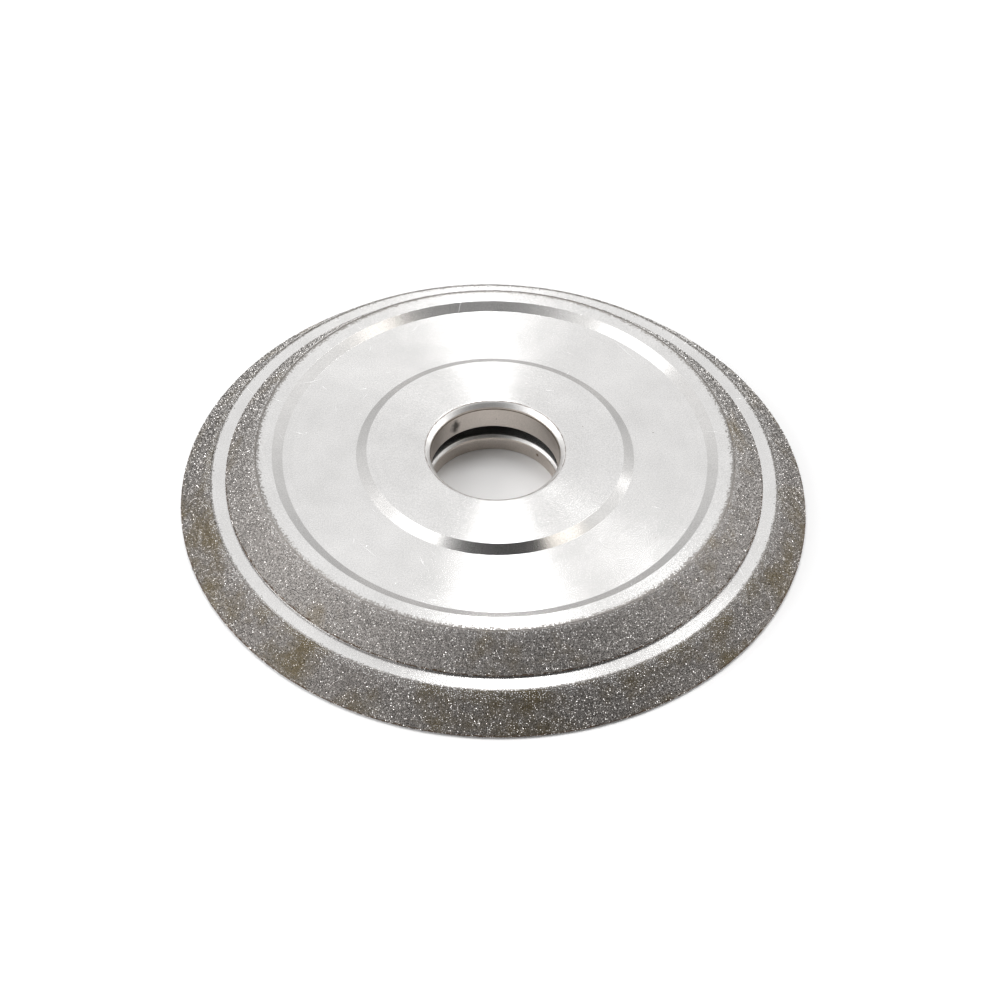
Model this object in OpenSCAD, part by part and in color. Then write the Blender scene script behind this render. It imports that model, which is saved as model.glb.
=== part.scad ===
// Double diamond grinding wheel. A wide steel disc with a plated bevel carries
// a smaller disc of the same kind and thickness, which lies on its flat upper face.
// The origin is on the wheel's axis, at the face it rests on. +Z runs up the axis.

/* [Wheel] */
// Outer diameter, over the plating of the lower bevel
wheel_d = 125; // [100:1:180]
// Diameter of the arbor bore, the same in both discs
bore_d = 25.4; // [16:0.1:32]
// Slope of both grinding bevels, in degrees from the flat
bevel_angle = 45; // [35:1:60]
// Thickness of the plated diamond layer, square to the bevel
coat_t = 0.25; // [0.1:0.05:0.6]
// Height of the narrow bare edge below each bevel
edge_h = 0.4; // [0.2:0.1:1]

/* [Lower disc] */
// Thickness of the lower disc
lower_h = 6.35; // [5:0.05:9]
// Width of the bare land between the lower bevel and the upper disc
land_w = 3.2; // [2:0.1:6]
// Width of the ring under the upper disc that carries it
seat_w = 8; // [5:0.5:12]
// Depth of the hub's relief below that ring
hub_relief = 2.6; // [1:0.1:3]
// Chamfer at the top of the lower disc's bore
lower_mouth = 0.6; // [0.2:0.1:1]
// Chamfer at the bottom of the lower disc's bore
lower_break = 0.2; // [0.1:0.05:0.5]

/* [Upper disc] */
// Thickness of the upper disc
upper_h = 6.35; // [5:0.05:9]
// Width of the flat ring inside the upper bevel
rim_w = 3.55; // [2:0.05:6]
// Depth of the turned recess between that ring and the hub boss
recess_depth = 1.1; // [0.6:0.1:2]
// Slope of the turned steps, in degrees from the flat
step_angle = 28; // [25:1:60]
// Diameter of the hub boss at its top
boss_d = 50.6; // [42:0.1:52]
// Chamfer at the top of the upper disc's bore
upper_mouth = 1.1; // [0.3:0.1:1.5]
// Chamfer at the bottom of the upper disc's bore
upper_break = 0.35; // [0.1:0.05:0.5]

/* [Hidden] */
$fn = 180;

bore_r = bore_d / 2;
coat_run = coat_t / sin(bevel_angle);

lower_r = wheel_d / 2;
lower_top_r = lower_r - (lower_h - edge_h) / tan(bevel_angle);
upper_r = lower_top_r - land_w;
seat_in_r = upper_r - seat_w;
hub_z = lower_h - hub_relief;
hub_r = seat_in_r - hub_relief / tan(step_angle);

upper_top_z = lower_h + upper_h;
upper_top_r = upper_r - (upper_h - edge_h) / tan(bevel_angle);
rim_in_r = upper_top_r - rim_w;
web_z = upper_top_z - recess_depth;
step_run = recess_depth / tan(step_angle);
boss_r = boss_d / 2;

// Wide steel disc: bare edge, bevel, flat land and seat, hub relief and bore
module lower_disc() {
    color("gainsboro")
        rotate_extrude()
            polygon([
                [bore_r + lower_break, 0],
                [lower_r - coat_run, 0],
                [lower_r - coat_run, edge_h],
                [lower_top_r - coat_run, lower_h],
                [seat_in_r, lower_h],
                [hub_r, hub_z],
                [bore_r + lower_mouth, hub_z],
                [bore_r, hub_z - lower_mouth],
                [bore_r, lower_break]
            ]);
}

// Smaller steel disc: bare edge, bevel, rim ring, recess, hub boss and bore
module upper_disc() {
    color("whitesmoke")
        rotate_extrude()
            polygon([
                [bore_r + upper_break, lower_h],
                [upper_r - coat_run, lower_h],
                [upper_r - coat_run, lower_h + edge_h],
                [upper_top_r - coat_run, upper_top_z],
                [rim_in_r, upper_top_z],
                [rim_in_r - step_run, web_z],
                [boss_r + step_run, web_z],
                [boss_r, upper_top_z],
                [bore_r + upper_mouth, upper_top_z],
                [bore_r, upper_top_z - upper_mouth],
                [bore_r, lower_h + upper_break]
            ]);
}

// Plated layer on a bevel, from its outer radius and height at the foot
module plated_bevel(foot_r, foot_z, bevel_h) {
    top_r = foot_r - bevel_h / tan(bevel_angle);
    rotate_extrude()
        polygon([
            [foot_r - coat_run, foot_z],
            [foot_r, foot_z],
            [top_r, foot_z + bevel_h],
            [top_r - coat_run, foot_z + bevel_h]
        ]);
}

// Diamond layer on the lower disc
module lower_diamond_coat() {
    color("dimgray")
        plated_bevel(lower_r, edge_h, lower_h - edge_h);
}

// Diamond layer on the upper disc
module upper_diamond_coat() {
    color("gray")
        plated_bevel(upper_r, lower_h + edge_h, upper_h - edge_h);
}

lower_disc();
lower_diamond_coat();
upper_disc();
upper_diamond_coat();
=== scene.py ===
"""Looks of the double diamond grinding wheel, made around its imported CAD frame.

Two turned steel discs lie on one axis. Each has a nickel plated bevel full of diamond grit.
Lengths are in metres, in the frame's own axes: +Z runs up the wheel's axis.
"""

import math

import bpy
from mathutils import Euler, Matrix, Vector


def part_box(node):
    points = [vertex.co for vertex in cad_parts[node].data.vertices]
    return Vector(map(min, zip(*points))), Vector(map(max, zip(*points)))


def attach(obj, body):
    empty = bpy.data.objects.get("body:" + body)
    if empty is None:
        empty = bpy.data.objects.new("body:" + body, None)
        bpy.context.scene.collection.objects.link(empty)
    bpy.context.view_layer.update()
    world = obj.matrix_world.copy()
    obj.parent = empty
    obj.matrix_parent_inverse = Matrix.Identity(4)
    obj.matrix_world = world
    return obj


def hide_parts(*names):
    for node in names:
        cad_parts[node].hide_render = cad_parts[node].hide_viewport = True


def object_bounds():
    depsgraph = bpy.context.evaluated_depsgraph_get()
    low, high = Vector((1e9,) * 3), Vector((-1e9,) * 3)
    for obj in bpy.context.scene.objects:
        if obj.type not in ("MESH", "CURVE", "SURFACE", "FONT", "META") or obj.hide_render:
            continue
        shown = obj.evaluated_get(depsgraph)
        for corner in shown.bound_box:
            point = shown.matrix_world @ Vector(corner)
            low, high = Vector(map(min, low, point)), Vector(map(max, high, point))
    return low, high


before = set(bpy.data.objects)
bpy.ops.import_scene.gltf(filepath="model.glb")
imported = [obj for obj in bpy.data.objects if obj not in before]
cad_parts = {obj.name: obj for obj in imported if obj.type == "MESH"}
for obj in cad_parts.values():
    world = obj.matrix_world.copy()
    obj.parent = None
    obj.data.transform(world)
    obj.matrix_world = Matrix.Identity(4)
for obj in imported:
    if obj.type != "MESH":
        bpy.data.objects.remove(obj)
cad_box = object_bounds()

MM = 0.001

# Turned steel
DISC_DIVISIONS = 480
EDGE_RADIUS = 0.09 * MM
MOUTH_RADIUS = 1.2 * MM
PLATED_EDGE_RADIUS = 0.7 * MM
ARC_STEPS = 4
STRAIGHT = math.radians(2)
# Two heights closer than this are the same
LEVEL = 0.01 * MM

# How steep a face is, as the upward part of its normal
FLAT = 0.905
UPRIGHT = 0.5

# How far from the bore's wall, and how far down, its rounded chamfer reaches
CHAMFER_REACH = 1.5 * MM
CHAMFER_DEPTH = 1.35 * MM

# Diamond plating
PLATING_DIVISIONS = 1300
PLATING_ROWS = 28
RIPPLE_HEIGHT = 0.05 * MM
RIPPLE_SIZE = 0.5 * MM
GRIT_STAND = 0.12 * MM
GRIT_BEDDING = 0.02 * MM
STRIP_DIVISIONS = 720
GRAIN_RADIUS = 0.13 * MM
GRAIN_SPACING = 0.265 * MM
BOND_GRAIN = 0.16 * MM
PLATED_LIP = 0.3 * MM
LIP_SINK = 0.1 * MM
STRAY_REACH = 0.8 * MM
SEAM_WIDTH = 0.28 * MM
SPECKLED_LIP = 0.45 * MM
FINE_GRAIN = 0.32 * MM
COARSE_GRAIN = 1.1 * MM

# Camera: a long lens, looking down at the wheel
VIEW_ELEVATION = 46.06
VIEW_DISTANCE = 0.5
VIEW_ROLL = 1.92
LENS = 89.9
AIM_RIGHT = 1.26 * MM
AIM_DOWN = 1.42 * MM

# The light tent's brightness at the floor and overhead
SKIRT = (0.62, 0.62, 0.62)
ROOF = (1.12, 1.12, 1.12)

# Dark openings of the light tent: the way to each, where it starts and stops fading (degrees),
# and how bright its middle is
OPENINGS = [
    ((-0.02, -0.42, 0.905), 15, 26, 0.2),
    ((0.32, -0.66, 0.68), 32, 52, 0.03),
]

# Places of the materials in a disc's finishes
FLATS, STEPS, WALL, MOUTH, RIM = range(5)


# ---------------------------------------------------------------- turned outlines

def turned_outline(node):
    """Corners (radius, height) of a turned CAD node's section, in order, anticlockwise.

    The node's mesh also has rings part way up its cones. They aren't corners.
    """
    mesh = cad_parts[node].data
    micron = 1e-6
    corner_of = []
    for vertex in mesh.vertices:
        x, y, z = vertex.co
        corner_of.append((round(math.hypot(x, y) / micron), round(z / micron)))
    beside = {corner: set() for corner in corner_of}
    for edge in mesh.edges:
        a, b = (corner_of[i] for i in edge.vertices)
        if a != b:
            beside[a].add(b)
            beside[b].add(a)
    start = min(beside)
    order = [start, min(beside[start])]
    while True:
        onward = [corner for corner in beside[order[-1]] if corner != order[-2]]
        if start in onward and len(order) > 2:
            break
        order.append(onward[0])
    rings = [Vector((r * micron, z * micron)) for r, z in order]
    outline = [p for last, p, onward in zip(rings[-1:] + rings, rings, rings[1:] + rings[:1])
               if (p - last).angle(onward - p) > STRAIGHT]
    area = sum(a.x * b.y - b.x * a.y for a, b in zip(outline, outline[1:] + outline[:1]))
    return outline if area > 0 else outline[::-1]


def plated_edge_of(outline):
    """The outermost of an outline's highest corners: the lip of its bevel."""
    return max(outline, key=lambda p: (p.y, p.x))


def rounded(outline, radii):
    """The closed outline with a small arc in place of each corner. radii has one for each.

    A point just past each end of an arc keeps the flat between two arcs flat when shaded.
    """
    points = []
    for i, (corner, radius) in enumerate(zip(outline, radii)):
        to_last = outline[i - 1] - corner
        to_next = outline[(i + 1) % len(outline)] - corner
        trim = radius / math.tan(to_last.angle(to_next) / 2)
        trim = min(trim, to_last.length * 0.35, to_next.length * 0.35)
        start = corner + to_last.normalized() * trim
        end = corner + to_next.normalized() * trim
        points.append(corner + to_last.normalized() * trim * 1.3)
        for step in range(ARC_STEPS + 1):
            t = step / ARC_STEPS
            points.append((1 - t) ** 2 * start + 2 * t * (1 - t) * corner + t ** 2 * end)
        points.append(corner + to_next.normalized() * trim * 1.3)
    return points


# ---------------------------------------------------------------- geometry nodes

def geometry_tree(name, inputs):
    """An empty Geometry Nodes tree with these named inputs: (name, socket type, value)."""
    tree = bpy.data.node_groups.new(name, "GeometryNodeTree")
    face = tree.interface
    face.new_socket("Geometry", in_out="INPUT", socket_type="NodeSocketGeometry")
    for label, kind, value in inputs:
        socket = face.new_socket(label, in_out="INPUT", socket_type=kind)
        if value is not None:
            socket.default_value = value
    face.new_socket("Geometry", in_out="OUTPUT", socket_type="NodeSocketGeometry")
    return tree


class Wiring:
    """Adds nodes to a tree and links them, one call for each node."""

    def __init__(self, tree):
        self.tree = tree

    def add(self, kind, links=None, **settings):
        """A new node. links maps its input to a value or to another node's output."""
        node = self.tree.nodes.new(kind)
        for key, value in settings.items():
            setattr(node, key, value)
        for key, value in (links or {}).items():
            socket = node.inputs[key]
            if isinstance(value, bpy.types.NodeSocket):
                self.tree.links.new(value, socket)
            else:
                socket.default_value = value
        return node

    def math(self, operation, a, b=0.0, c=0.0, clamp=False):
        """The output of a Math node."""
        node = self.add("ShaderNodeMath", {0: a, 1: b, 2: c}, operation=operation)
        node.use_clamp = clamp
        return node.outputs[0]

    def ramp(self, value, start, end, low=0.0, high=1.0, **settings):
        """The output of a Map Range node: low up to start, high from end on."""
        node = self.add("ShaderNodeMapRange", {0: value, 1: start, 2: end, 3: low, 4: high}, **settings)
        return node.outputs[0]

    def vector(self, operation, a, b=(0, 0, 0)):
        """The vector output of a Vector Math node."""
        return self.add("ShaderNodeVectorMath", {0: a, 1: b}, operation=operation).outputs[0]


def turning_tree():
    """Turns the section, given as a loop in XY, round the axis, and ripples its plating.

    X is the distance from the bore's wall and -Y the height. The point attribute "plated"
    says how far each point of the section moves with the ripple.
    """
    tree = geometry_tree("turn_on_axis", [
        ("Bore Radius", "NodeSocketFloat", 0.01),
        ("Divisions", "NodeSocketInt", 64),
        ("Ripple Height", "NodeSocketFloat", 0.0),
        ("Ripple Size", "NodeSocketFloat", 0.001),
        ("Finish", "NodeSocketMaterial", None),
    ])
    w = Wiring(tree)
    given = w.add("NodeGroupInput").outputs
    section = w.add("GeometryNodeMeshToCurve", {0: given["Geometry"]})
    path = w.add("GeometryNodeCurvePrimitiveCircle",
                 {"Resolution": given["Divisions"], "Radius": given["Bore Radius"]})
    swept = w.add("GeometryNodeCurveToMesh",
                  {"Curve": path.outputs[0], "Profile Curve": section.outputs[0]})
    turned = w.add("GeometryNodeFlipFaces", {0: swept.outputs[0]})
    plated = w.add("GeometryNodeInputNamedAttribute", {"Name": "plated"}, data_type="FLOAT")
    noise = w.add("ShaderNodeTexNoise", {
        "Scale": w.math("DIVIDE", 1.0, given["Ripple Size"]), "Detail": 2.0})
    lift = w.math("MULTIPLY", w.math("SUBTRACT", noise.outputs[0], 0.75), given["Ripple Height"])
    lift = w.math("MULTIPLY", lift, plated.outputs["Attribute"])
    normal = w.add("GeometryNodeInputNormal").outputs[0]
    offset = w.add("ShaderNodeVectorMath", {0: normal, "Scale": lift}, operation="SCALE")
    moved = w.add("GeometryNodeSetPosition",
                  {"Geometry": turned.outputs[0], "Offset": offset.outputs[0]})
    real = w.add("GeometryNodeRealizeInstances", {0: moved.outputs[0]})
    done = w.add("GeometryNodeSetMaterial",
                 {"Geometry": real.outputs[0], "Material": given["Finish"]})
    w.add("NodeGroupOutput", {0: done.outputs[0]})
    return tree


def grit_tree():
    """Scatters diamond crystals, each turned and sized at random, over a surface.

    Where the point attribute "plated" falls from 1 to 0 the crystals thin out raggedly.
    """
    tree = geometry_tree("scatter_diamond_grit", [
        ("Grain Radius", "NodeSocketFloat", 0.0001),
        ("Size Spread", "NodeSocketFloat", 0.3),
        ("Spacing", "NodeSocketFloat", 0.0003),
        ("Seed", "NodeSocketInt", 1),
        ("Finish", "NodeSocketMaterial", None),
    ])
    w = Wiring(tree)
    given = w.add("NodeGroupInput").outputs
    spacing = given["Spacing"]
    most = w.math("DIVIDE", 3.0, w.math("MULTIPLY", spacing, spacing))
    plated = w.add("GeometryNodeInputNamedAttribute", {"Name": "plated"}, data_type="FLOAT")
    ragged = w.add("ShaderNodeTexNoise", {"Scale": 700.0, "Detail": 3.0}).outputs[0]
    share = w.math("SUBTRACT", plated.outputs["Attribute"], ragged)
    share = w.math("MULTIPLY", share, 5.0, clamp=True)
    points = w.add("GeometryNodeDistributePointsOnFaces", {
        "Mesh": given["Geometry"], "Distance Min": spacing, "Density Max": most,
        "Density Factor": share, "Seed": given["Seed"]}, distribute_method="POISSON")
    crystal = w.add("GeometryNodeMeshUVSphere",
                    {"Segments": 4, "Rings": 2, "Radius": given["Grain Radius"]})
    turn = w.add("FunctionNodeRandomValue", {
        "Min": (0, 0, 0), "Max": (math.tau, math.tau, math.tau),
        "Seed": given["Seed"]}, data_type="FLOAT_VECTOR")
    small = w.math("SUBTRACT", 1.0, given["Size Spread"])
    large = w.math("ADD", 1.0, given["Size Spread"])
    size = w.add("FunctionNodeRandomValue", {
        "Min": w.add("ShaderNodeCombineXYZ", {0: small, 1: small, 2: small}).outputs[0],
        "Max": w.add("ShaderNodeCombineXYZ", {0: large, 1: large, 2: large}).outputs[0],
        "Seed": w.math("ADD", given["Seed"], 1.0)}, data_type="FLOAT_VECTOR")
    placed = w.add("GeometryNodeInstanceOnPoints", {
        "Points": points.outputs[0], "Instance": crystal.outputs[0],
        "Rotation": turn.outputs[0], "Scale": size.outputs[0]})
    tone = w.add("FunctionNodeRandomValue",
                 {2: 0.0, 3: 1.0, "Seed": w.math("ADD", given["Seed"], 2.0)}, data_type="FLOAT")
    toned = w.add("GeometryNodeStoreNamedAttribute", {
        "Geometry": placed.outputs[0], "Name": "grain_tone", "Value": tone.outputs[1]},
        data_type="FLOAT", domain="INSTANCE")
    real = w.add("GeometryNodeRealizeInstances", {0: toned.outputs[0]})
    done = w.add("GeometryNodeSetMaterial",
                 {"Geometry": real.outputs[0], "Material": given["Finish"]})
    w.add("NodeGroupOutput", {0: done.outputs[0]})
    return tree


def made_by(tree, name, mesh, values):
    """A plain mesh piece: the tree's result on a source mesh, with these input values."""
    source = bpy.data.objects.new(name + "_source", mesh)
    bpy.context.scene.collection.objects.link(source)
    modifier = source.modifiers.new("nodes", "NODES")
    modifier.node_group = tree
    for item in tree.interface.items_tree:
        if item.in_out == "INPUT" and item.name in values:
            modifier[item.identifier] = values[item.name]
    evaluated = source.evaluated_get(bpy.context.evaluated_depsgraph_get())
    piece = bpy.data.objects.new(name, bpy.data.meshes.new_from_object(evaluated))
    piece.data.name = name
    bpy.data.objects.remove(source)
    bpy.context.scene.collection.objects.link(piece)
    return piece


def section_mesh(name, points, inner, plated=None, closed=True):
    """A chain of edges through section points, measured from the innermost radius.

    plated has a value from 0 to 1 for each point, for the trees that read it.
    """
    mesh = bpy.data.meshes.new(name)
    count = len(points)
    links = [(i, (i + 1) % count) for i in range(count if closed else count - 1)]
    mesh.from_pydata([(p.x - inner, -p.y, 0) for p in points], links, [])
    ripple = mesh.attributes.new("plated", "FLOAT", "POINT")
    ripple.data.foreach_set("value", plated or [0.0] * count)
    return mesh


# ---------------------------------------------------------------- shader groups

def shader_group(name, inputs, outputs):
    """An empty shader node group with float or vector sockets."""
    group = bpy.data.node_groups.new(name, "ShaderNodeTree")
    for label, kind, value in inputs:
        socket = group.interface.new_socket(label, in_out="INPUT", socket_type=kind)
        if value is not None:
            socket.default_value = value
    for label, kind in outputs:
        group.interface.new_socket(label, in_out="OUTPUT", socket_type=kind)
    return group


def turning_marks_group():
    """Rings left by the lathe tool: fine and coarse grooves, by the radius and the height."""
    group = shader_group("turning_marks", [
        ("Place", "NodeSocketVector", None),
        ("Pitch", "NodeSocketFloat", 0.00012)],
        [("Grooves", "NodeSocketFloat"), ("Bands", "NodeSocketFloat")])
    w = Wiring(group)
    given = w.add("NodeGroupInput").outputs
    x, y, z = w.add("ShaderNodeSeparateXYZ", {0: given["Place"]}).outputs
    square = w.math("ADD", w.math("MULTIPLY", x, x), w.math("MULTIPLY", y, y))
    radius = w.math("ADD", w.math("SQRT", square), z)
    across = w.math("DIVIDE", radius, given["Pitch"])
    fine = w.add("ShaderNodeTexNoise", {"W": across, "Scale": 1.0, "Detail": 2.0},
                 noise_dimensions="1D")
    coarse = w.add("ShaderNodeTexNoise",
                   {"W": w.math("MULTIPLY", across, 0.07), "Scale": 1.0, "Detail": 3.0},
                   noise_dimensions="1D")
    w.add("NodeGroupOutput", {0: fine.outputs[0], 1: coarse.outputs[0]})
    return group


def scratches_group():
    """Straight hairline scratches, each its own way and length. 1 is a scratch."""
    group = shader_group("handling_scratches", [
        ("Place", "NodeSocketVector", None),
        ("Apart", "NodeSocketFloat", 0.006),
        ("Width", "NodeSocketFloat", 0.00005),
        ("Share", "NodeSocketFloat", 0.3)],
        [("Scratch", "NodeSocketFloat")])
    w = Wiring(group)
    given = w.add("NodeGroupInput").outputs
    cells = w.add("ShaderNodeTexVoronoi", {
        "Vector": given["Place"], "Scale": w.math("DIVIDE", 1.0, given["Apart"])})
    from_middle = w.vector("SUBTRACT", given["Place"], cells.outputs["Position"])
    x, y, _ = w.add("ShaderNodeSeparateXYZ", {0: from_middle}).outputs
    way, length, chance = w.add("ShaderNodeSeparateXYZ", {0: cells.outputs["Color"]}).outputs
    angle = w.math("MULTIPLY", way, math.tau)
    cosine, sine = w.math("COSINE", angle), w.math("SINE", angle)
    along = w.math("ADD", w.math("MULTIPLY", x, cosine), w.math("MULTIPLY", y, sine))
    across = w.math("SUBTRACT", w.math("MULTIPLY", x, sine), w.math("MULTIPLY", y, cosine))
    reach = w.math("MULTIPLY", w.math("MULTIPLY", length, given["Apart"]), 0.5)
    fade = w.math("SUBTRACT", 1.0, w.math("DIVIDE", w.math("ABSOLUTE", along), reach), clamp=True)
    line = w.math("SUBTRACT", 1.0, w.math("DIVIDE", w.math("ABSOLUTE", across), given["Width"]),
                  clamp=True)
    chosen = w.math("LESS_THAN", chance, given["Share"])
    w.add("NodeGroupOutput", {0: w.math("MULTIPLY", w.math("MULTIPLY", line, fade), chosen)})
    return group


def pits_group():
    """Small round pits and specks, far apart. 1 is a pit."""
    group = shader_group("small_pits", [
        ("Place", "NodeSocketVector", None),
        ("Size", "NodeSocketFloat", 0.0002),
        ("Share", "NodeSocketFloat", 0.05)],
        [("Pit", "NodeSocketFloat")])
    w = Wiring(group)
    given = w.add("NodeGroupInput").outputs
    cells = w.add("ShaderNodeTexVoronoi", {
        "Vector": given["Place"], "Scale": w.math("DIVIDE", 0.16, given["Size"])})
    near = w.ramp(cells.outputs["Distance"], 0.04, 0.1, 1.0, 0.0)
    tint = w.add("ShaderNodeSeparateXYZ", {0: cells.outputs["Color"]}).outputs[0]
    chosen = w.math("LESS_THAN", tint, given["Share"])
    w.add("NodeGroupOutput", {0: w.math("MULTIPLY", near, chosen)})
    return group


def ring_dirt_and_painted_light_group():
    """A ring mark for grit, painted shade and painted sparkle: 1 at this radius and height, fading
    raggedly over the width.
    """
    group = shader_group("ring_dirt_and_painted_light", [
        ("Place", "NodeSocketVector", None),
        ("Radius", "NodeSocketFloat", 0.05),
        ("Height", "NodeSocketFloat", 0.005),
        ("Width", "NodeSocketFloat", 0.0003),
        ("Grain", "NodeSocketFloat", 0.0011),
        ("Raggedness", "NodeSocketFloat", 1.4)],
        [("Dirt And Painted Light", "NodeSocketFloat")])
    w = Wiring(group)
    given = w.add("NodeGroupInput").outputs
    x, y, z = w.add("ShaderNodeSeparateXYZ", {0: given["Place"]}).outputs
    square = w.math("ADD", w.math("MULTIPLY", x, x), w.math("MULTIPLY", y, y))
    outward = w.math("SUBTRACT", w.math("SQRT", square), given["Radius"])
    upward = w.math("SUBTRACT", z, given["Height"])
    away = w.math("SQRT", w.math("ADD", w.math("MULTIPLY", outward, outward),
                                 w.math("MULTIPLY", upward, upward)))
    noise = w.add("ShaderNodeTexNoise", {
        "Vector": given["Place"], "Scale": w.math("DIVIDE", 1.0, given["Grain"]), "Detail": 3.0})
    away = w.math("DIVIDE", away, w.math("MULTIPLY", given["Width"], 2.0))
    ragged = w.math("MULTIPLY", w.math("SUBTRACT", noise.outputs[0], 0.5), given["Raggedness"])
    inside = w.math("SUBTRACT", w.math("ADD", ragged, 0.7), away)
    grime = w.math("MULTIPLY", inside, 4.0, clamp=True)
    w.add("NodeGroupOutput", {0: grime})
    return group


def smear_group():
    """One soft-edged mark left by handling. 1 is its middle."""
    group = shader_group("handling_smear", [
        ("Place", "NodeSocketVector", None),
        ("Middle", "NodeSocketVector", None),
        ("Reach", "NodeSocketVector", (0.001, 0.001, 0.001))],
        [("Smear", "NodeSocketFloat")])
    w = Wiring(group)
    given = w.add("NodeGroupInput").outputs
    offset = w.vector("DIVIDE", w.vector("SUBTRACT", given["Place"], given["Middle"]), given["Reach"])
    away = w.add("ShaderNodeVectorMath", {0: offset}, operation="LENGTH").outputs["Value"]
    cloud = w.add("ShaderNodeTexNoise", {"Vector": given["Place"], "Scale": 900.0, "Detail": 2.0})
    away = w.math("ADD", away, w.math("MULTIPLY", cloud.outputs[0], 0.8))
    w.add("NodeGroupOutput", {0: w.ramp(away, 0.7, 1.3, 1.0, 0.0)})
    return group


def plating_group():
    """Nickel bond between the grains: fine lumps, a random tone for each, and slow stains."""
    group = shader_group("nickel_bond", [
        ("Place", "NodeSocketVector", None),
        ("Grain", "NodeSocketFloat", 0.0002),
        ("Stained Share", "NodeSocketFloat", 0.5)],
        [("Lumps", "NodeSocketFloat"), ("Stain", "NodeSocketFloat"), ("Spark", "NodeSocketFloat")])
    w = Wiring(group)
    given = w.add("NodeGroupInput").outputs
    scale = w.math("DIVIDE", 1.0, given["Grain"])
    cells = w.add("ShaderNodeTexVoronoi", {"Vector": given["Place"], "Scale": scale})
    noise = w.add("ShaderNodeTexNoise", {"Vector": given["Place"], "Scale": scale, "Detail": 3.0})
    lumps = w.math("ADD", w.math("MULTIPLY", noise.outputs[0], 0.6),
                   w.math("MULTIPLY", cells.outputs["Distance"], -0.5))
    slow = w.add("ShaderNodeTexNoise", {
        "Vector": given["Place"], "Scale": 70.0, "Detail": 4.0, "Roughness": 0.65})
    amount = w.math("SUBTRACT", w.math("ADD", slow.outputs[0], given["Stained Share"]), 1.0)
    stain = w.ramp(amount, -0.02, 0.14)
    spark = w.add("ShaderNodeSeparateXYZ", {0: cells.outputs["Color"]}).outputs[0]
    w.add("NodeGroupOutput", {0: lumps, 1: stain, 2: spark})
    return group


TURNING_MARKS = turning_marks_group()
SCRATCHES = scratches_group()
PITS = pits_group()
NICKEL_BOND = plating_group()
RING_DIRT_AND_PAINTED_LIGHT = ring_dirt_and_painted_light_group()
SMEAR = smear_group()


# ---------------------------------------------------------------- materials

def new_material(name):
    """A node material with its Principled shader: (material, wiring, shader, place)."""
    material = bpy.data.materials.new(name)
    material.use_nodes = True
    w = Wiring(material.node_tree)
    shader = material.node_tree.nodes["Principled BSDF"]
    place = w.add("ShaderNodeTexCoord").outputs["Object"]
    return material, w, shader, place


def use_group(w, group, links):
    """A node that places a shader group in a material."""
    node = w.add("ShaderNodeGroup", node_tree=group)
    for key, value in links.items():
        if isinstance(value, bpy.types.NodeSocket):
            w.tree.links.new(value, node.inputs[key])
        else:
            node.inputs[key].default_value = value
    return node


def blend_colours(w, factor, a, b):
    """The colour between a and b by a factor that changes over the surface."""
    mix = w.add("ShaderNodeMix", data_type="RGBA")
    for socket, value in ((mix.inputs["Factor"], factor), (mix.inputs["A"], a), (mix.inputs["B"], b)):
        if isinstance(value, bpy.types.NodeSocket):
            w.tree.links.new(value, socket)
        elif socket.type == "RGBA":
            socket.default_value = (*value, 1.0)
        else:
            socket.default_value = value
    return mix.outputs["Result"]


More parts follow.
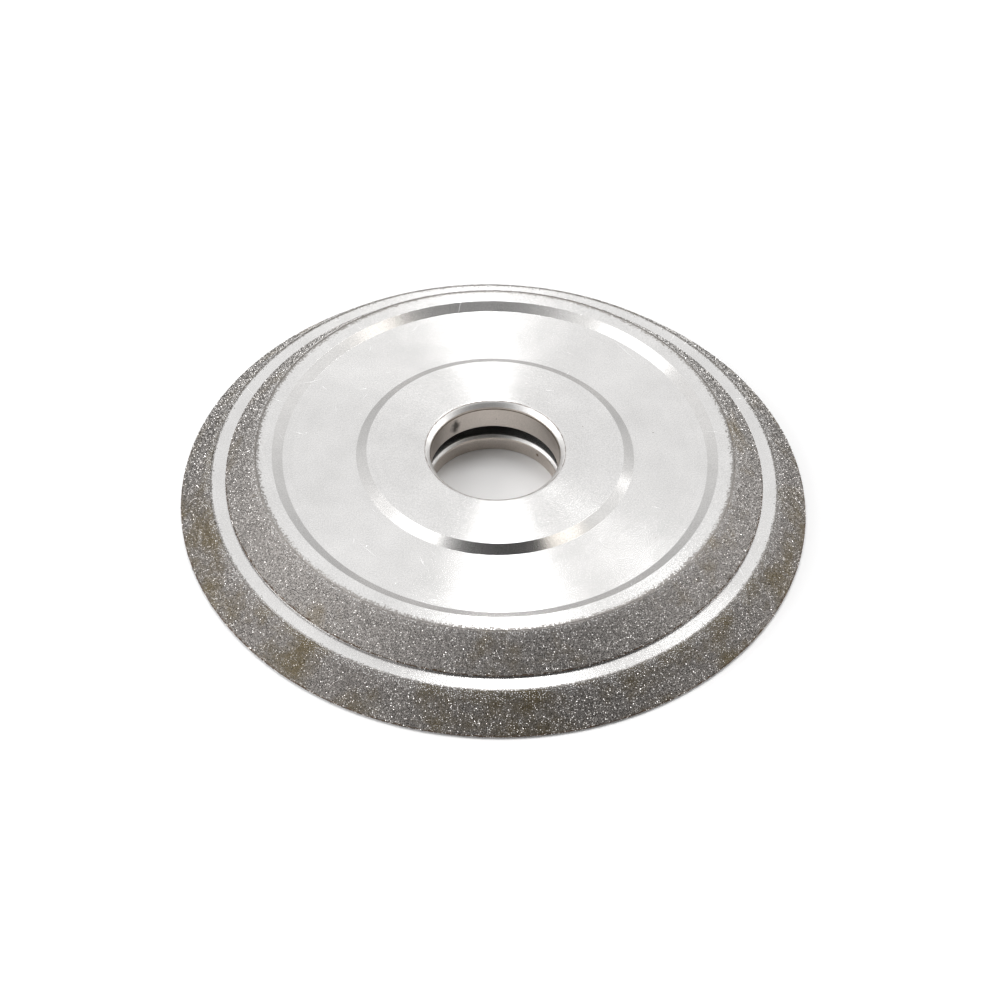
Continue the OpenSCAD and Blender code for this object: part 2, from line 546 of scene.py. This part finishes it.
def turned_steel(name, colour, roughness, anisotropic, pitch, groove_depth, speckle,
                 rings=(), smears=()):
    """Bright turned steel: rings of tool marks that fan the light out along the radius.

    speckle is how much a fine grain breaks the tool marks up. rings are dark circles
    on it, made by ring; one is painted shade in the seam under the upper disc. smears are marks on it:
    (middle, reach, colour).
    """
    material, w, shader, place = new_material(name)
    marks = use_group(w, TURNING_MARKS, {"Place": place, "Pitch": pitch}).outputs
    long = use_group(w, SCRATCHES, {
        "Place": place, "Apart": 11 * MM, "Width": 0.05 * MM, "Share": 0.25}).outputs[0]
    short = use_group(w, SCRATCHES, {
        "Place": place, "Apart": 3 * MM, "Width": 0.045 * MM, "Share": 0.1}).outputs[0]
    scratch = w.math("MAXIMUM", long, short)
    grain = w.add("ShaderNodeTexNoise", {"Vector": place, "Scale": 3800.0, "Detail": 1.0}).outputs[0]
    cloud = w.add("ShaderNodeTexNoise", {"Vector": place, "Scale": 160.0, "Detail": 3.0}).outputs[0]
    pit = use_group(w, PITS, {"Place": place, "Size": 0.25 * MM, "Share": 0.012}).outputs[0]
    mottle = w.math("ADD", w.math("MULTIPLY", grain, 1.6), w.math("MULTIPLY", cloud, 0.9))
    tone = blend_colours(w, w.math("SUBTRACT", mottle, 0.75, clamp=True),
                         tuple(c * 0.88 for c in colour), tuple(c * 1.12 for c in colour))
    tone = blend_colours(w, w.math("MULTIPLY", marks["Bands"], 0.12), tone, (0.5, 0.49, 0.48))
    tone = blend_colours(w, pit, tone, (0.25, 0.23, 0.2))
    tone = blend_colours(w, w.math("MULTIPLY", scratch, 0.9), tone, (1.0, 1.0, 1.0))
    rough = w.math("ADD", roughness - 0.02, w.math("MULTIPLY", marks["Bands"], 0.04))
    rough = w.math("ADD", rough, w.math("MULTIPLY", scratch, 0.15))
    for middle, reach, mark_colour in smears:
        smear = use_group(w, SMEAR, {"Place": place, "Middle": middle, "Reach": reach}).outputs[0]
        tone = blend_colours(w, smear, tone, mark_colour)
        rough = w.math("ADD", rough, w.math("MULTIPLY", smear, 0.15))
    for links, ring_colour in rings:
        dirt_and_shade = use_group(w, RING_DIRT_AND_PAINTED_LIGHT, {"Place": place, **links}).outputs[0]
        tone = blend_colours(w, dirt_and_shade, tone, ring_colour)
        rough = w.math("ADD", rough, w.math("MULTIPLY", dirt_and_shade, 0.2))
    w.tree.links.new(tone, shader.inputs["Base Color"])
    w.tree.links.new(rough, shader.inputs["Roughness"])
    shader.inputs["Metallic"].default_value = 1.0
    shader.inputs["Anisotropic"].default_value = anisotropic
    shader.inputs["Anisotropic Rotation"].default_value = 0.25
    tangent = w.add("ShaderNodeTangent", direction_type="RADIAL", axis="Z")
    w.tree.links.new(tangent.outputs[0], shader.inputs["Tangent"])
    height = w.math("ADD", marks["Grooves"], w.math("MULTIPLY", grain, speckle))
    height = w.math("SUBTRACT", height, w.math("MULTIPLY", scratch, 2.0))
    height = w.math("SUBTRACT", height, w.math("MULTIPLY", pit, 3.0))
    bump = w.add("ShaderNodeBump", {"Height": height, "Distance": groove_depth, "Strength": 1.0})
    w.tree.links.new(bump.outputs[0], shader.inputs["Normal"])
    return material


def nickel_plating(name, colour, stain_colour, stained_share, node):
    """The nickel bond of a diamond layer: rough, grey, stained in places, with painted shade and some
    grime at its foot.
    """
    material, w, shader, place = new_material(name)
    bond = use_group(w, NICKEL_BOND, {
        "Place": place, "Grain": BOND_GRAIN, "Stained Share": stained_share}).outputs
    low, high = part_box(node)
    # A dark ring at the bevel's foot: painted shade in the seam under the upper bevel and a painted
    # contact shadow at the table under the lower one, with some brown grime
    dirt_and_shade = use_group(w, RING_DIRT_AND_PAINTED_LIGHT, {
        "Place": place, "Radius": high.x, "Height": low.z, "Width": 1.2 * SEAM_WIDTH}).outputs[0]
    tone = blend_colours(w, bond["Spark"], tuple(c * 0.45 for c in colour), colour)
    tone = blend_colours(w, bond["Stain"], tone, stain_colour)
    tone = blend_colours(w, dirt_and_shade, tone, (0.1, 0.07, 0.05))
    w.tree.links.new(tone, shader.inputs["Base Color"])
    rough = w.math("ADD", 0.34, w.math("MULTIPLY", bond["Spark"], 0.25))
    w.tree.links.new(rough, shader.inputs["Roughness"])
    shader.inputs["Metallic"].default_value = 1.0
    bump = w.add("ShaderNodeBump",
                 {"Height": bond["Lumps"], "Distance": 0.12 * MM, "Strength": 1.0})
    w.tree.links.new(bump.outputs[0], shader.inputs["Normal"])
    return material


def diamond_grit(name, dark, bright, stain_colour, stained_share, node, rubs=()):
    """Diamond crystals: glassy facets, from smoky to nearly white, stained in places.

    Along the lip of their CAD node they are whitened: wear, with a painted sparkle over it. They are
    chalk-white where it has been rubbed. rubs are the middles and reaches of those marks.
    """
    material, w, shader, place = new_material(name)
    grain_tone = w.add("ShaderNodeAttribute", attribute_name="grain_tone").outputs["Fac"]
    tone = blend_colours(w, w.ramp(grain_tone, 0.5, 0.8), dark, bright)
    bond = use_group(w, NICKEL_BOND, {
        "Place": place, "Grain": BOND_GRAIN, "Stained Share": stained_share}).outputs
    tone = blend_colours(w, w.math("MULTIPLY", bond["Stain"], 0.6), tone, stain_colour)
    lip = plated_edge_of(turned_outline(node))
    # Painted sparkle along the lip: grains whitened and made less metallic there, over real wear
    worn_and_sparkle = use_group(w, RING_DIRT_AND_PAINTED_LIGHT, {
        "Place": place, "Radius": lip.x, "Height": lip.y, "Width": 2.2 * SPECKLED_LIP,
        "Grain": 0.4 * MM, "Raggedness": 3.0}).outputs[0]
    worn_and_sparkle = w.math("MULTIPLY", worn_and_sparkle, w.math("ADD", grain_tone, 0.1, clamp=True))
    scuff = use_group(w, SCRATCHES, {
        "Place": place, "Apart": 14 * MM, "Width": 0.35 * MM, "Share": 0.2}).outputs[0]
    chalk_and_sparkle = w.math("MAXIMUM", w.math("MULTIPLY", worn_and_sparkle, 0.95), w.math("MULTIPLY", scuff, 0.7))
    for middle, reach in rubs:
        rub = use_group(w, SMEAR, {"Place": place, "Middle": middle, "Reach": reach}).outputs[0]
        chalk_and_sparkle = w.math("MAXIMUM", chalk_and_sparkle, w.math("MULTIPLY", rub, 0.8))
    tone = blend_colours(w, chalk_and_sparkle, tone, (0.9, 0.89, 0.88))
    w.tree.links.new(tone, shader.inputs["Base Color"])
    w.tree.links.new(w.math("SUBTRACT", 0.75, w.math("MULTIPLY", chalk_and_sparkle, 0.75)),
                     shader.inputs["Metallic"])
    haze = w.add("ShaderNodeTexNoise", {"Vector": place, "Scale": 9000.0, "Detail": 1.0})
    rough = w.math("ADD", 0.16, w.math("MULTIPLY", haze.outputs[0], 0.2))
    w.tree.links.new(rough, shader.inputs["Roughness"])
    shader.inputs["IOR"].default_value = 2.4
    return material


def pale_floor():
    """Matt white table."""
    material, w, shader, place = new_material("pale_floor")
    cloud = w.add("ShaderNodeTexNoise", {"Vector": place, "Scale": 3.0, "Detail": 2.0})
    tone = blend_colours(w, cloud.outputs[0], (0.86, 0.86, 0.865), (0.9, 0.9, 0.9))
    w.tree.links.new(tone, shader.inputs["Base Color"])
    shader.inputs["Roughness"].default_value = 0.7
    return material


# ---------------------------------------------------------------- pieces

TURN_ON_AXIS = turning_tree()
SCATTER_GRIT = grit_tree()


def smooth(piece, angle=25):
    """Smooth faces, with sharp edges kept where the surface turns by more than angle."""
    piece.data.shade_smooth()
    piece.data.set_sharp_from_angle(angle=math.radians(angle))


def add_disc(name, node, body, finishes):
    """A turned steel disc in place of its CAD node, with a small radius on each edge.

    finishes are the materials of its flats, sloped steps, bore wall, bore mouth and rim.
    The rim is what lies outside the upper disc.
    """
    corners = turned_outline(node)
    inner = min(p.x for p in corners)
    bore_reach = inner + CHAMFER_REACH
    plated_edge = plated_edge_of(corners)
    back = min(p.y for p in corners)
    radii = []
    for corner in corners:
        if corner is plated_edge:
            radii.append(PLATED_EDGE_RADIUS)
        elif corner.x < bore_reach and corner.y > back + CHAMFER_REACH:
            radii.append(MOUTH_RADIUS)
        else:
            radii.append(EDGE_RADIUS)
    outline = rounded(corners, radii)
    piece = made_by(TURN_ON_AXIS, name, section_mesh(name, outline, inner), {
        "Bore Radius": inner, "Divisions": DISC_DIVISIONS, "Finish": finishes[FLATS]})
    rim_start = UPPER_HIGH.x
    choice = []
    for face in piece.data.polygons:
        radius = math.hypot(face.center.x, face.center.y)
        steep = abs(face.normal.z) < FLAT
        if radius < bore_reach and abs(face.normal.z) < UPRIGHT:
            choice.append(WALL)
        elif radius < bore_reach and steep:
            choice.append(MOUTH)
        elif radius > rim_start:
            choice.append(RIM)
        elif steep and face.normal.z > UPRIGHT:
            choice.append(STEPS)
        else:
            choice.append(FLATS)
    used = sorted(set(choice))
    piece.data.materials.clear()
    for index in used:
        piece.data.materials.append(finishes[index])
    piece.data.polygons.foreach_set("material_index", [used.index(index) for index in choice])
    smooth(piece)
    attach(piece, body)
    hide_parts(node)
    return piece


def add_plating(name, node, body, finish):
    """The plated nickel layer of a bevel, in place of its CAD node."""
    outline = turned_outline(node)
    inner = min(p.x for p in outline)
    foot = max(outline, key=lambda p: p.x)
    top = plated_edge_of(outline)
    sunk = Vector((GRIT_STAND / math.sin((top - foot).angle(Vector((-1, 0)))), 0))
    behind = sorted((p for p in outline if p not in (foot, top)), key=lambda p: -p.y)
    slope_end = top - (top - foot).normalized() * PLATED_LIP - sunk
    lip_end = top.lerp(behind[0], 0.95) - Vector((0, LIP_SINK))
    points = [(foot - sunk).lerp(slope_end, i / PLATING_ROWS) for i in range(PLATING_ROWS + 1)]
    for i in range(1, ARC_STEPS + 1):
        t = i / ARC_STEPS
        corner = top - sunk
        points.append((1 - t) ** 2 * slope_end + 2 * t * (1 - t) * corner + t ** 2 * lip_end)
    plated = [1.0] * len(points) + [0.0] * len(behind)
    points += behind
    piece = made_by(TURN_ON_AXIS, name, section_mesh(name, points, inner, plated), {
        "Bore Radius": inner, "Divisions": PLATING_DIVISIONS, "Finish": finish,
        "Ripple Height": RIPPLE_HEIGHT, "Ripple Size": RIPPLE_SIZE})
    smooth(piece, 40)
    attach(piece, body)
    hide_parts(node)
    return piece


def add_grit(name, node, body, finish, stray_height, seed):
    """Diamond crystals all over the bevel of a CAD plating node and round its lip.

    Beyond the lip stray crystals stand in the steel, with their middles stray_height above
    it. All are cut off level with the wheel's top, so that none stands above it.
    """
    outline = turned_outline(node)
    foot = max(outline, key=lambda p: p.x)
    top = plated_edge_of(outline)
    steel_edge = min((p for p in outline if p.y > top.y - LEVEL), key=lambda p: p.x)
    slope = (top - foot).normalized()
    out = Vector((slope.y, -slope.x))
    sink = out * (GRIT_STAND + GRIT_BEDDING)
    strays = steel_edge + Vector((0, stray_height))
    path = [foot + slope * GRAIN_RADIUS - sink, top - slope * GRAIN_RADIUS - sink,
            strays, strays - Vector((STRAY_REACH, 0))]
    inner = min(p.x for p in path)
    strip_section = section_mesh(name, path, inner, [1.0, 1.0, 0.85, 0.15], closed=False)
    strip = made_by(TURN_ON_AXIS, name + "_strip", strip_section,
                    {"Bore Radius": inner, "Divisions": STRIP_DIVISIONS})
    strip.data.materials.clear()
    piece = made_by(SCATTER_GRIT, name, strip.data, {
        "Grain Radius": GRAIN_RADIUS, "Spacing": GRAIN_SPACING, "Seed": seed, "Finish": finish})
    bpy.data.objects.remove(strip)
    piece.data.materials.clear()
    piece.data.materials.append(finish)
    piece.data.polygons.foreach_set("material_index", [0] * len(piece.data.polygons))
    ceiling = UPPER_HIGH.z
    for vertex in piece.data.vertices:
        vertex.co.z = min(vertex.co.z, ceiling)
    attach(piece, body)
    return piece


UPPER_CORNERS = turned_outline("upper_disc")
UPPER_LOW, UPPER_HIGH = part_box("upper_disc")
BORE_RADIUS = min(p.x for p in UPPER_CORNERS)


def at_turn(turn, radius, height):
    """The place at this turn from +X, in degrees."""
    angle = math.radians(turn)
    return (radius * math.cos(angle), radius * math.sin(angle), height)


def on_lower_bevel(turn, rise):
    """A place on the lower bevel, by its turn from +X in degrees and its share of the rise."""
    outline = turned_outline("lower_diamond_coat")
    foot = max(outline, key=lambda p: p.x)
    radius, height = foot.lerp(plated_edge_of(outline), rise)
    return at_turn(turn, radius, height)


def ring(radius, height, width, grain, raggedness, colour):
    """A dark circle on turned steel: the ring group's inputs, and its colour."""
    links = {"Radius": radius, "Height": height, "Width": width, "Grain": grain,
             "Raggedness": raggedness}
    return links, colour


def gritty_lip(node):
    """The ring of stray grit on a disc's flat beside its plated edge."""
    lip = plated_edge_of(turned_outline(node))
    return ring(lip.x, lip.y, SPECKLED_LIP, FINE_GRAIN, 3.6, (0.3, 0.285, 0.27))


# Marks: (middle, reach, colour), dark rings, and chalk-white rubs on the lower bevel: (middle, reach)
DARK_SMEAR = (at_turn(130, BORE_RADIUS, 8.9 * MM), (1.6 * MM, 1.6 * MM, 2.2 * MM), (0.12, 0.11, 0.1))
RUST_SPECK = (at_turn(48, BORE_RADIUS, 2.0 * MM), (0.5 * MM, 0.5 * MM, 0.5 * MM), (0.16, 0.09, 0.05))
# Painted shade in the seam where the upper disc sits on the land, brown with some grime
SEAT_SHADE_AND_GRIME = ring(UPPER_HIGH.x, UPPER_LOW.z, SEAM_WIDTH, COARSE_GRAIN, 1.4, (0.13, 0.09, 0.06))
MOUTH_EDGE = ring(BORE_RADIUS, UPPER_HIGH.z - CHAMFER_DEPTH, 0.1 * MM, COARSE_GRAIN, 0.8,
                  (0.2, 0.17, 0.14))
MOUTH_RIM = ring(min(p.x for p in UPPER_CORNERS if p.y > UPPER_HIGH.z - LEVEL), UPPER_HIGH.z,
                 0.12 * MM, COARSE_GRAIN, 0.8, (0.3, 0.27, 0.25))
RUBS = [
    (on_lower_bevel(184, 0.8), (1.6 * MM, 0.5 * MM, 1.6 * MM)),
    (on_lower_bevel(178, 0.95), (0.5 * MM, 1.6 * MM, 0.6 * MM)),
    (on_lower_bevel(197, 0.5), (0.9 * MM, 2.2 * MM, 1.0 * MM)),
    (on_lower_bevel(264, 0.9), (1.4 * MM, 0.8 * MM, 0.8 * MM)),
    (on_lower_bevel(276, 0.35), (0.5 * MM, 1.2 * MM, 1.2 * MM)),
]

TURNED = turned_steel("turned_steel", (0.67, 0.662, 0.655), 0.25, 0.9, 0.1 * MM, 0.004 * MM, 3.0,
                      rings=(gritty_lip("upper_disc"), MOUTH_RIM))
LAND = turned_steel("land_steel", (0.66, 0.648, 0.64), 0.25, 0.9, 0.12 * MM, 0.004 * MM, 3.0,
                    rings=(SEAT_SHADE_AND_GRIME, gritty_lip("lower_disc")))
STEP = turned_steel("step_steel", (0.62, 0.61, 0.6), 0.2, 0.3, 0.08 * MM, 0.001 * MM, 3.0)
BORE = turned_steel("bore_steel", (0.62, 0.565, 0.515), 0.3, 0.3, 0.15 * MM, 0.004 * MM, 1.0,
                    rings=(MOUTH_EDGE,), smears=(DARK_SMEAR, RUST_SPECK))
CHAMFER = turned_steel("chamfer_steel", (0.74, 0.73, 0.72), 0.45, 0.4, 0.1 * MM, 0.003 * MM, 1.0,
                       rings=(MOUTH_EDGE, MOUTH_RIM))
LOWER_BOND = nickel_plating("lower_nickel_bond", (0.27, 0.25, 0.235), (0.13, 0.107, 0.07),
                            0.52, "lower_diamond_coat")
UPPER_BOND = nickel_plating("upper_nickel_bond", (0.36, 0.338, 0.32), (0.19, 0.16, 0.115),
                            0.42, "upper_diamond_coat")
LOWER_GRIT = diamond_grit("lower_diamond_grit", (0.05, 0.045, 0.041), (0.95, 0.92, 0.89),
                          (0.2, 0.163, 0.11), 0.5, "lower_diamond_coat", RUBS)
UPPER_GRIT = diamond_grit("upper_diamond_grit", (0.07, 0.065, 0.06), (0.92, 0.892, 0.868),
                          (0.26, 0.218, 0.16), 0.42, "upper_diamond_coat")

add_disc("lower_disc_turned", "lower_disc", "lower_wheel",
         (TURNED, STEP, BORE, CHAMFER, LAND))
add_disc("upper_disc_turned", "upper_disc", "upper_wheel",
         (TURNED, STEP, BORE, CHAMFER, LAND))
add_plating("lower_nickel_layer", "lower_diamond_coat", "lower_wheel", LOWER_BOND)
add_plating("upper_nickel_layer", "upper_diamond_coat", "upper_wheel", UPPER_BOND)
add_grit("lower_diamond_grit", "lower_diamond_coat", "lower_wheel",
         LOWER_GRIT, 0.0 * MM, 11)
add_grit("upper_diamond_grit", "upper_diamond_coat", "upper_wheel",
         UPPER_GRIT, -0.15 * MM, 29)


# ---------------------------------------------------------------- stage

def add_floor():
    """A wide table top just under the wheel."""
    low = cad_box[0].z - 0.02 * MM
    half = 3.0
    mesh = bpy.data.meshes.new("table")
    mesh.from_pydata([(-half, -half, low), (half, -half, low), (half, half, low), (-half, half, low)],
                     [], [(0, 1, 2, 3)])
    mesh.materials.append(pale_floor())
    table = bpy.data.objects.new("table", mesh)
    bpy.context.scene.collection.objects.link(table)


def add_softbox(name, centre, size, radiance, colour=(1, 1, 1), tipped=False):
    """A rectangular lamp over the wheel, level or tipped to face it.

    radiance is how bright its face looks.
    """
    lamp = bpy.data.lights.new(name, "AREA")
    lamp.shape = "RECTANGLE"
    lamp.size, lamp.size_y = size
    lamp.energy = radiance * math.pi * size[0] * size[1]
    lamp.color = colour
    softbox = bpy.data.objects.new(name, lamp)
    softbox.location = centre
    if tipped:
        softbox.rotation_euler = Vector(centre).to_track_quat("Z", "Y").to_euler()
    bpy.context.scene.collection.objects.link(softbox)


def add_surroundings():
    """A white tent of light, with two dark openings on the camera's side, above its skirt."""
    world = bpy.data.worlds.new("light_tent")
    bpy.context.scene.world = world
    world.use_nodes = True
    w = Wiring(world.node_tree)
    back = world.node_tree.nodes["Background"]
    way = w.add("ShaderNodeTexCoord").outputs["Generated"]
    height = w.add("ShaderNodeSeparateXYZ", {0: way}).outputs[2]
    tone = blend_colours(w, w.ramp(height, 0.0, 0.62), SKIRT, ROOF)
    above_skirt = w.ramp(height, 0.22, 0.42, interpolation_type="SMOOTHSTEP")
    for opening, inner, outer, brightness in OPENINGS:
        toward = Vector(opening).normalized()
        facing = w.add("ShaderNodeVectorMath", {0: way, 1: toward}, operation="DOT_PRODUCT")
        near = w.ramp(facing.outputs["Value"], math.cos(math.radians(outer)),
                      math.cos(math.radians(inner)), interpolation_type="SMOOTHSTEP")
        tone = blend_colours(w, w.math("MULTIPLY", near, above_skirt), tone, [brightness] * 3)
    w.tree.links.new(tone, back.inputs["Color"])
    back.inputs["Strength"].default_value = 1.0


def add_camera():
    """The camera, aimed at the wheel's outer edge circle, with the wheel a little off centre."""
    tilt = math.radians(VIEW_ELEVATION)
    edge = Vector((0, 0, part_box("lower_diamond_coat")[0].z))
    backward = Vector((0, -math.cos(tilt), math.sin(tilt)))
    up = Vector((0, math.sin(tilt), math.cos(tilt)))
    aim = Vector((AIM_RIGHT, 0, 0)) - up * AIM_DOWN
    camera = bpy.data.objects.new("camera", bpy.data.cameras.new("camera"))
    camera.location = edge + aim + backward * VIEW_DISTANCE
    camera.rotation_euler = Euler((math.pi / 2 - tilt, 0, 0))
    camera.rotation_euler.rotate_axis("Z", math.radians(VIEW_ROLL))
    camera.data.lens = LENS
    camera.data.clip_start = 0.01
    bpy.context.scene.collection.objects.link(camera)
    bpy.context.scene.camera = camera


add_floor()
add_surroundings()
add_softbox("back_strip", centre=(0.03, 0.28, 0.85), size=(0.12, 0.32), radiance=14.0)
add_softbox("right_strip", centre=(0.28, 0.41, 0.82), size=(0.1, 0.16), radiance=8.0)
add_softbox("left_softbox", centre=(-0.46, 0.05, 0.8), size=(0.28, 0.45), radiance=1.8)
add_softbox("right_softbox", centre=(0.43, -0.02, 0.8), size=(0.24, 0.3), radiance=1.7,
            colour=(1.0, 0.95, 0.88))
add_softbox("low_left_softbox", centre=(-0.75, -0.08, 0.36), size=(0.6, 0.5), radiance=3.6,
            tipped=True)
add_softbox("low_right_softbox", centre=(0.78, 0.2, 0.26), size=(0.6, 0.44), radiance=2.6,
            tipped=True)
add_camera()
bpy.context.scene.view_settings.view_transform = "Standard"
